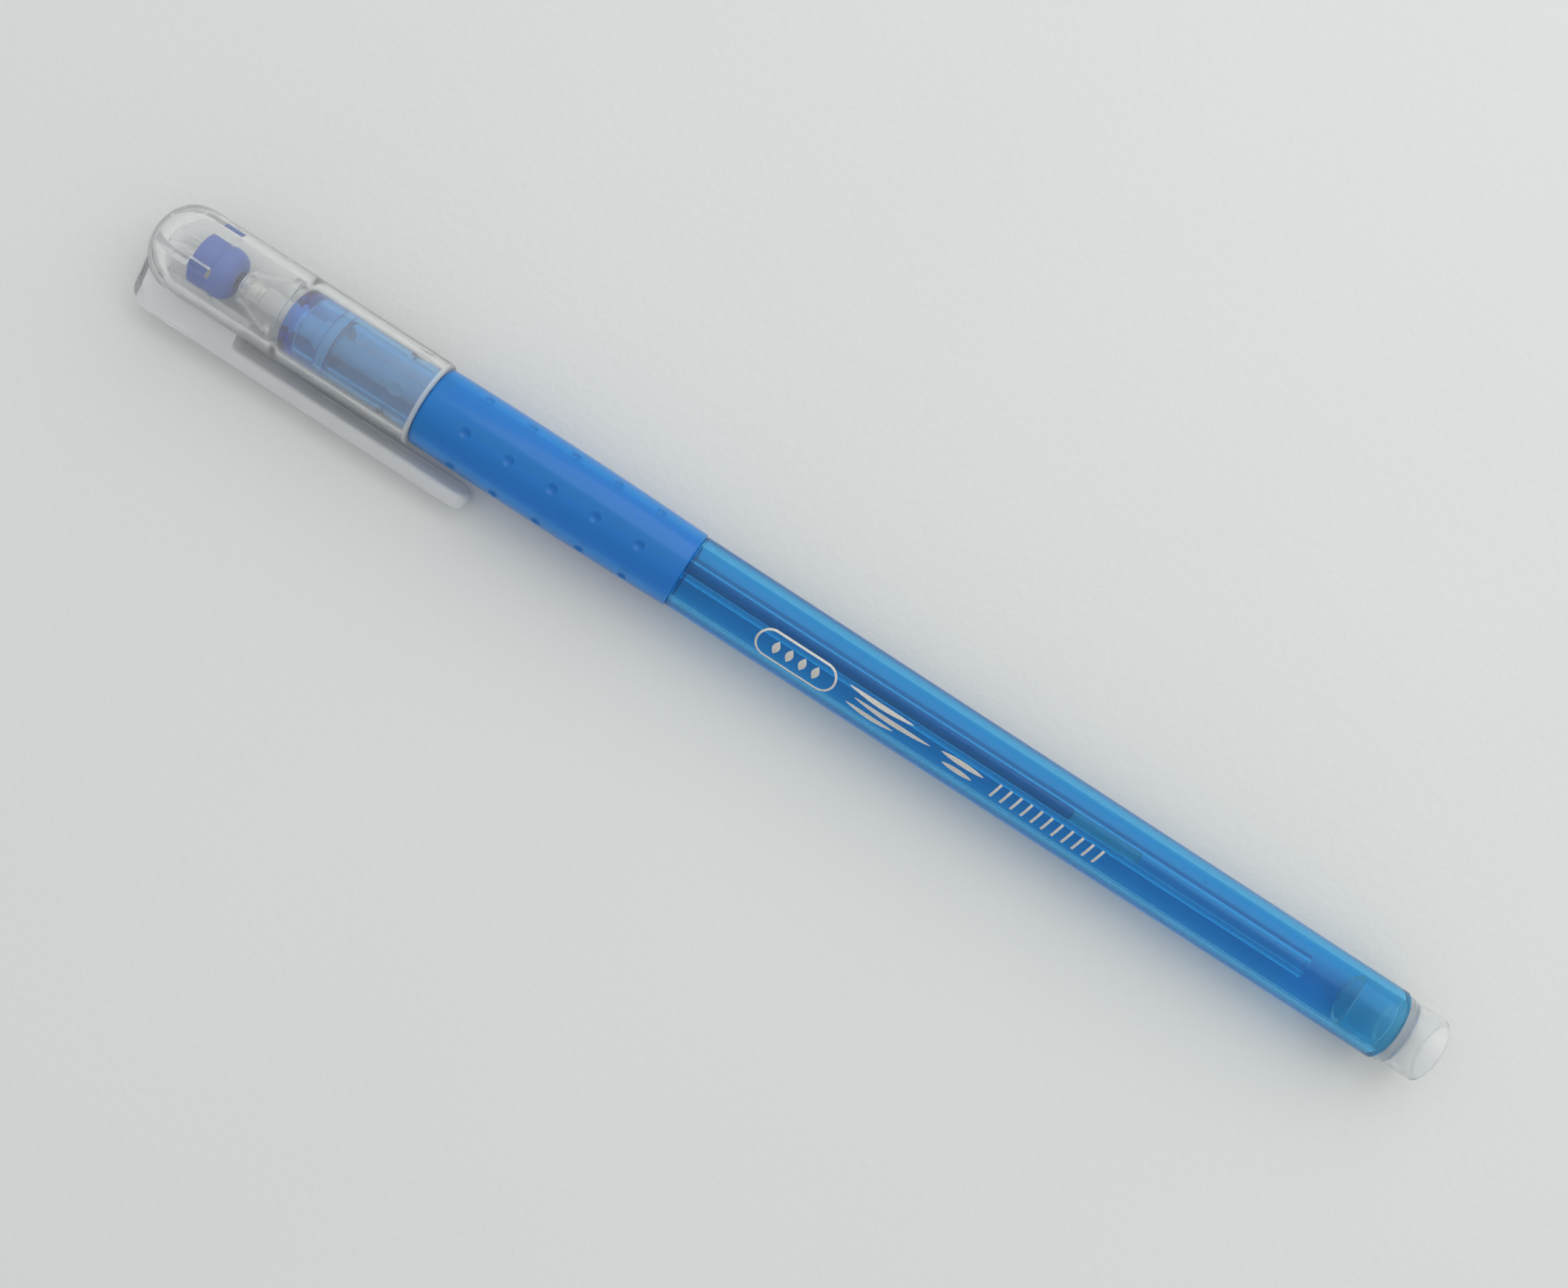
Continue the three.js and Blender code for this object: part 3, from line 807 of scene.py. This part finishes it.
def build_nose(material):
    mouth = HOLDER_RADIUS + 0.12
    wall = 1.1
    chamber = 2.65
    socket = SPIGOT_RADIUS + FIT
    socket_end = SPIGOT_FRONT - 0.1
    bore = FLANGE_RADIUS + 0.08
    seat = HOLDER_FLANGE_AT - 0.05
    groove = GROOVE_WIDTH / 2
    outline = rounded([
        (NOSE_FRONT, mouth, 0.1),
        (NOSE_FRONT, NOSE_FRONT_RADIUS, 0.95),
        (NUB_AT - groove, NOSE_RADIUS - 0.02, 0.1),
        (NUB_AT - groove + 0.3, GROOVE_RADIUS, 0.15),
        (NUB_AT + groove - 0.3, GROOVE_RADIUS, 0.15),
        (NUB_AT + groove, NOSE_RADIUS, 0.1),
        (NOSE_REAR, NOSE_RADIUS, 0.1),
        (NOSE_REAR, socket, 0.1),
        (socket_end, socket, 0.08),
        (socket_end, bore, 0.08),
        (seat, bore, 0.1),
        (seat, chamber, 0.1),
        (NOSE_FRONT + wall + 0.7, chamber, 0.3),
        (NOSE_FRONT + wall, mouth, 0.2),
    ])
    nose = turned("nose_cone", outline)
    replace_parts(give(nose, material), "nose")
    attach(nose, "pen_body")


def grip_radius(s):
    """The grip's outside: widest in the middle, and drawn in to each end."""
    end = GRIP_FRONT if s < GRIP_WIDEST else GRIP_REAR
    end_radius = GRIP_FRONT_RADIUS if s < GRIP_WIDEST else GRIP_REAR_RADIUS
    share = (s - GRIP_WIDEST) / (end - GRIP_WIDEST)
    return GRIP_RADIUS - (GRIP_RADIUS - end_radius) * share * share


def seam_relief(angles, seam, height):
    """A fine ridge along a parting line."""
    return height * np.exp(-((degrees_from(angles, seam) / SEAM_WIDTH) ** 2))


def grip_relief(s, r, angles):
    """The dimples in the grip's outside, each with a low lip, and the parting line."""
    if r < grip_radius(s) - 0.02:
        return np.full(len(angles), r)
    depth = np.zeros(len(angles))
    for i in range(DIMPLES_PER_ROW):
        along = s - (DIMPLE_FIRST + DIMPLE_PITCH * i)
        if abs(along) > 2 * DIMPLE_RADIUS:
            continue
        for k in range(DIMPLE_ROWS):
            off = degrees_from(angles, DIMPLE_TURN + 360 * k / DIMPLE_ROWS)
            across = np.radians(off) * r
            away = np.hypot(along, across) / DIMPLE_RADIUS
            bowl = np.clip(1 - away ** 2, 0, None)
            lip = LIP_HEIGHT * np.exp(-((away - LIP_AT) / LIP_WIDTH) ** 2)
            depth += DIMPLE_DEPTH * bowl - lip * DIMPLE_RADIUS
    return r - depth + seam_relief(angles, GRIP_SEAM, GRIP_SEAM_HEIGHT)


def build_grip(material):
    step = 0.11
    edge = 0.12
    count = int((GRIP_REAR - GRIP_FRONT) / step)
    outline = [(GRIP_FRONT, GRIP_BORE), (GRIP_FRONT, GRIP_FRONT_RADIUS - edge)]
    outline += [(s, grip_radius(s)) for s in between(GRIP_FRONT + edge, GRIP_REAR - edge, count)]
    outline += [(GRIP_REAR, GRIP_REAR_RADIUS - edge), (GRIP_REAR, GRIP_BORE)]
    grip = turned("grip_skin", outline, even_angles(240, [GRIP_SEAM]), grip_relief, sharp=50)
    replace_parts(give(grip, material), "grip_sleeve")
    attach(grip, "pen_body")


def barrel_relief(s, r, angles):
    """The parting line on the barrel's outside."""
    if r < BARREL_UNDER_GRIP + 0.1:
        return np.full(len(angles), r)
    return r + seam_relief(angles, BARREL_SEAM, BARREL_SEAM_HEIGHT)


def build_barrel(material, spigot_material):
    grip_end = GRIP_REAR + 0.05
    bore_front = BARREL_SHOULDER + 1.2
    outline = rounded([
        (SPIGOT_FRONT, SPIGOT_BORE, 0.1),
        (SPIGOT_FRONT, SPIGOT_RADIUS, 0.15),
        (BARREL_SHOULDER, SPIGOT_RADIUS),
        (BARREL_SHOULDER, BARREL_UNDER_GRIP, 0.1),
        (grip_end, BARREL_UNDER_GRIP),
        (grip_end, BARREL_RADIUS, 0.18),
        (BARREL_REAR, BARREL_REAR_RADIUS, 0.22),
        (BARREL_REAR, BARREL_BORE, 0.1),
        (bore_front, BARREL_BORE, 0.15),
        (bore_front - 0.6, SPIGOT_BORE, 0.15),
    ])
    barrel = turned("barrel_tube", outline, even_angles(SIDES, [BARREL_SEAM]), barrel_relief)
    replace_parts(give(barrel, material), "barrel")
    barrel.data.materials.append(spigot_material)
    for face in barrel.data.polygons:
        if (face.center.x - APEX_X) / MM < BARREL_SHOULDER - 0.01:
            face.material_index = 1
    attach(barrel, "pen_body")


def build_end_plug(material):
    spigot = BARREL_BORE - FIT
    flange_start = BARREL_REAR + FIT
    spigot_bore = 2.2
    web = 143.6
    floor = 145.5
    flange_end = 145
    post = 3.43
    post_bore = 2.88
    outline = rounded([
        (web, 0),
        (web, spigot_bore, 0.3),
        (PLUG_FRONT, spigot_bore, 0.1),
        (PLUG_FRONT, spigot, 0.3),
        (flange_start, spigot),
        (flange_start, PLUG_RADIUS, 0.1),
        (flange_end, PLUG_RADIUS, 0.14),
        (flange_end, post, 0.08),
        (PEN_END, post, 0.28),
        (PEN_END, post_bore, 0.12),
        (floor, post_bore - 0.12, 0.5),
        (floor, 0),
    ])
    plug = turned("clear_end_plug", outline)
    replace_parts(give(plug, material), "end_plug")
    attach(plug, "pen_body")


# ---------------------------------------------------------------- the foil marks on the barrel

def barrel_radius(s):
    """The barrel's outside, which tapers slightly to the rear."""
    share = (s - GRIP_REAR) / (BARREL_REAR - GRIP_REAR)
    return BARREL_RADIUS + (BARREL_REAR_RADIUS - BARREL_RADIUS) * share


def ribbon(path, widths, closed=False):
    """A thin foil stroke on the barrel. path holds (s, across) places, in millimetres."""
    places = np.array(path, float)
    after = np.roll(places, -1, axis=0)
    before = np.roll(places, 1, axis=0)
    if not closed:
        after[-1], before[0] = places[-1], places[0]
    along = after - before
    along /= np.linalg.norm(along, axis=1)[:, None]
    side = np.stack([-along[:, 1], along[:, 0]], axis=1) * np.array(widths)[:, None] / 2
    points = []
    for left, right in zip(places + side, places - side):
        section = ((left, FOIL_TOP), (right, FOIL_TOP), (right, FOIL_LIFT), (left, FOIL_LIFT))
        for (s, across), lift in section:
            radius = barrel_radius(s)
            points.append(to_frame(s, radius + lift, math.degrees(across / radius)))
    count = len(places)
    faces = []
    for i in range(count if closed else count - 1):
        a, b = 4 * i, 4 * ((i + 1) % count)
        faces += [(a + k, a + (k + 1) % 4, b + (k + 1) % 4, b + k) for k in range(4)]
    if not closed:
        faces += [(0, 1, 2, 3), tuple(range(4 * count - 4, 4 * count))]
    return points, faces


def capsule(front, rear, low, high, steps=16):
    """The closed outline of a bar with round ends."""
    radius = (high - low) / 2
    middle = (high + low) / 2
    path = []
    for centre, start in ((front + radius, 90), (rear - radius, 270)):
        for k in range(steps + 1):
            angle = math.radians(start + 180 * k / steps)
            path.append((centre + radius * math.cos(angle), middle + radius * math.sin(angle)))
    return path


def swelling(least, swell, steps, power=1.0):
    """Numbers along a stroke that start at least, grow by swell in the middle, and shrink back."""
    shares = [max(0.0, math.sin(math.pi * k / steps)) for k in range(steps + 1)]
    return [least + swell * share ** power for share in shares]


def capsule_marks():
    outline = capsule(*CAPSULE)
    marks = [ribbon(outline, [CAPSULE_LINE] * len(outline), closed=True)]
    for i in range(LOZENGES):
        s = LOZENGE_FIRST + LOZENGE_PITCH * i
        path = [(s, LOZENGE_SIDE + LOZENGE_LENGTH * k / 8) for k in range(9)]
        marks.append(ribbon(path, swelling(0.06, 0.74, 8)))
    return marks


def stroke_marks():
    marks = []
    for i, (start, end) in enumerate(STROKES):
        path = list(zip(between(start, end, 24), swelling(0.85 + 0.85 * i, 0.16, 24)))
        marks.append(ribbon(path, swelling(0.05, 0.46, 24, 0.7)))
    for i, (start, end) in enumerate(DASHES):
        across = 1.45 + 0.95 * i
        path = [(s, across) for s in between(start, end, 16)]
        marks.append(ribbon(path, swelling(0.05, 0.5, 16, 0.7)))
    return marks


def tick_marks():
    marks = []
    for i in range(TICKS):
        s = TICK_FIRST + TICK_PITCH * i
        path = [(s + TICK_SLANT * k / 6, TICK_HIGH - TICK_LENGTH * k / 6) for k in range(7)]
        marks.append(ribbon(path, [TICK_WIDTH] * 7))
    return marks


def build_foil(material):
    """A generic row: a capsule with four lozenges, tapered strokes, dashes and a run of ticks."""
    points, faces = [], []
    for mark_points, mark_faces in capsule_marks() + stroke_marks() + tick_marks():
        first = len(points)
        points += mark_points
        faces += [tuple(first + corner for corner in face) for face in mark_faces]
    foil = make_object("foil_marks", points, faces, sharp=25)
    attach(give(foil, material), "pen_body")


# ---------------------------------------------------------------- the refill

def build_ball(material):
    centre = (BALL_FRONT + BALL_REAR) / 2
    outline = arc(centre, 0, BALL_RADIUS, BALL_RADIUS, 180, 0, 24)
    ball = turned("writing_ball", outline, even_angles(48))
    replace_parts(give(ball, material), "ball")
    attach(ball, "ball")


def build_point(material):
    centre = (BALL_FRONT + BALL_REAR) / 2
    cup = BALL_RADIUS + 0.02
    cone_end = 10.6
    shoulder = 12.65
    groove_floor = POINT_RADIUS - 0.05
    bore = 0.4
    bore_front = 10.4
    outline = arc(centre, 0, cup, cup, 30, 118, 14)
    outline += rounded([
        (centre - 0.13, 0.37),
        (cone_end, 0.93, 0.12),
        (cone_end + 0.7, POINT_RADIUS, 0.15),
        (shoulder - 0.5, POINT_RADIUS),
        (shoulder - 0.45, groove_floor),
        (shoulder - 0.35, groove_floor),
        (shoulder - 0.3, POINT_RADIUS),
        (shoulder, POINT_RADIUS, 0.06),
        (shoulder, SHANK_RADIUS),
        (POINT_REAR, SHANK_RADIUS, 0.08),
        (POINT_REAR, bore),
        (bore_front, bore),
        (bore_front - 0.4, 0.15),
    ])
    point = turned("metal_point", outline, even_angles(SMALL_SIDES))
    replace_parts(give(point, material), "point_housing")
    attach(point, "pen_body")


def build_holder(material):
    socket = SHANK_RADIUS + FIT
    socket_end = POINT_REAR + 0.1
    stem = TUBE_BORE - FIT
    collar = 1.6
    collar_at = 19.2
    flange_rear = HOLDER_FLANGE_AT + 1
    hub_rear = TUBE_FRONT - 0.05
    outline = rounded([
        (HOLDER_FRONT, socket),
        (HOLDER_FRONT, HOLDER_RADIUS, 0.12),
        (collar_at - 0.6, HOLDER_RADIUS, 0.1),
        (collar_at, collar, 0.1),
        (HOLDER_FLANGE_AT, collar, 0.06),
        (HOLDER_FLANGE_AT, FLANGE_RADIUS, 0.1),
        (flange_rear, FLANGE_RADIUS, 0.1),
        (flange_rear, HOLDER_HUB, 0.1),
        (hub_rear, HOLDER_HUB, 0.08),
        (hub_rear, stem, 0.04),
        (HOLDER_REAR, stem, 0.06),
        (HOLDER_REAR, INK_CHANNEL),
        (socket_end, INK_CHANNEL),
        (socket_end, socket),
    ])
    holder = turned("point_holder", outline, even_angles(SMALL_SIDES))
    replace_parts(give(holder, material), "tip_holder")
    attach(holder, "pen_body")


def build_ink_thread(material):
    """The ink on its way through the holder to the point."""
    thread = 0.11
    front = POINT_REAR + 0.4
    outline = [(front, 0), (front, thread), (HOLDER_REAR, thread), (HOLDER_REAR, 0)]
    ink = turned("ink_thread", outline, even_angles(24))
    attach(give(ink, material), "pen_body")


def lean_places(front, rear):
    """Where a leaning piece needs rings, front to rear."""
    middle = [s for s in between(LEAN_START, LEAN_END, 24) if front < s < rear]
    return [front, *middle, rear]


def build_tube(material):
    places = lean_places(TUBE_FRONT, TUBE_REAR)
    outside = [(s, TUBE_RADIUS) for s in places]
    inside = [(s, TUBE_BORE) for s in reversed(places)]
    tube = lean(turned("ink_tube", outside + inside, even_angles(SMALL_SIDES)))
    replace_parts(give(tube, material), "refill_tube")
    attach(tube, "pen_body")


def column(name, front, rear):
    """A column of liquid in the tube, with slightly rounded ends."""
    round_end = 0.12
    outline = [(front, 0), (front, INK_RADIUS - round_end)]
    outline += [(s, INK_RADIUS) for s in lean_places(front + round_end, rear - round_end)]
    outline += [(rear, INK_RADIUS - round_end), (rear, 0)]
    return lean(turned(name, outline, even_angles(SMALL_SIDES)))


def build_ink(material):
    ink = column("ink_column", INK_FRONT, INK_REAR)
    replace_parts(give(ink, material), "ink")
    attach(ink, "pen_body")
    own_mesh(ink)


def build_follower(material):
    follower = column("grease_plug", FOLLOWER_FRONT, FOLLOWER_REAR)
    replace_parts(give(follower, material), "follower")
    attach(follower, "follower")


# ---------------------------------------------------------------- camera, floor and light

def build_camera():
    """Looks almost straight down, with the pen running from upper left to lower right."""
    camera = bpy.data.objects.new("camera", bpy.data.cameras.new("camera"))
    camera.data.sensor_width = 36
    camera.data.lens = CAMERA_LENS
    camera.data.clip_start = 0.005
    camera.location = Vector((0, AXIS_Y, AXIS_Z)) + Vector(CAMERA_FROM_AXIS)
    camera.rotation_euler = [math.radians(angle) for angle in CAMERA_TURN]
    bpy.context.scene.collection.objects.link(camera)
    bpy.context.scene.camera = camera


def build_floor(material):
    """A floor that touches both the clip's tip and the rear edge of the barrel."""
    rest_x = APEX_X + CLIP_TIP * MM
    rear_x = APEX_X + BARREL_REAR * MM
    slope = (AXIS_Z - BARREL_REAR_RADIUS * MM) / (rear_x - rest_x)
    corners = [(FLOOR_REACH * x, FLOOR_REACH * y) for x, y in ((-1, -1), (1, -1), (1, 1), (-1, 1))]
    points = [(x, y, (x - rest_x) * slope) for x, y in corners]
    floor = make_object("floor", points, [(0, 1, 2, 3)])
    give(floor, material)


def build_key():
    """One softbox, aimed at the middle of the pen."""
    light = bpy.data.lights.new("key", "AREA")
    light.shape = "RECTANGLE"
    light.size, light.size_y = KEY_SIZE
    light.energy = KEY_POWER
    lamp = bpy.data.objects.new("key", light)
    lamp.location = KEY_PLACE
    towards = Vector((0, AXIS_Y, AXIS_Z)) - Vector(KEY_PLACE)
    lamp.rotation_euler = towards.to_track_quat("-Z", "Y").to_euler()
    bpy.context.scene.collection.objects.link(lamp)


def build_world():
    """Soft white surroundings, brighter up and on the side away from the clip."""
    world = bpy.data.worlds.new("studio")
    world.use_nodes = True
    nodes, links = world.node_tree.nodes, world.node_tree.links
    background = nodes["Background"]
    background.inputs["Strength"].default_value = 1.0
    coordinates = nodes.new("ShaderNodeTexCoord")
    facing = nodes.new("ShaderNodeVectorMath")
    facing.operation = "DOT_PRODUCT"
    facing.inputs[1].default_value = Vector(BRIGHT_SIDE).normalized()
    ramp = nodes.new("ShaderNodeMapRange")
    ramp.interpolation_type = "SMOOTHSTEP"
    ramp.inputs["From Min"].default_value = -0.3
    ramp.inputs["From Max"].default_value = 1.0
    mixer = nodes.new("ShaderNodeMix")
    mixer.data_type = "RGBA"
    mixer.inputs[6].default_value = (*DIM_COLOUR, 1)
    mixer.inputs[7].default_value = (*BRIGHT_COLOUR, 1)
    links.new(coordinates.outputs["Generated"], facing.inputs[0])
    links.new(facing.outputs["Value"], ramp.inputs["Value"])
    links.new(ramp.outputs["Result"], mixer.inputs[0])
    links.new(mixer.outputs[2], background.inputs["Color"])
    bpy.context.scene.world = world


def build_light():
    """The surroundings, the softbox, and enough bounces for plastic inside plastic."""
    build_world()
    build_key()
    bpy.context.scene.view_settings.view_transform = "Standard"
    cycles = bpy.context.scene.cycles
    cycles.max_bounces = 32
    cycles.transmission_bounces = 32
    cycles.glossy_bounces = 8
    cycles.transparent_max_bounces = 16


# ---------------------------------------------------------------- the whole scene

def build_all():
    build_camera()
    clear = clear_plastic()
    build_cap(clear, frosted_rim(), clip_plastic())
    build_seal(violet_seal())
    build_guide(clear)
    build_nose(pale_blue_plastic())
    build_grip(satin_grip())
    build_barrel(blue_plastic(), thin_blue_plastic())
    build_end_plug(plug_plastic())
    build_foil(silver_foil())
    build_ball(carbide())
    build_point(turned_metal())
    build_holder(milky_plastic())
    build_tube(tube_plastic())
    ink = ink_look()
    build_ink(ink)
    build_ink_thread(ink)
    build_follower(grease_look())
    build_floor(paper_floor())
    build_light()


build_all()
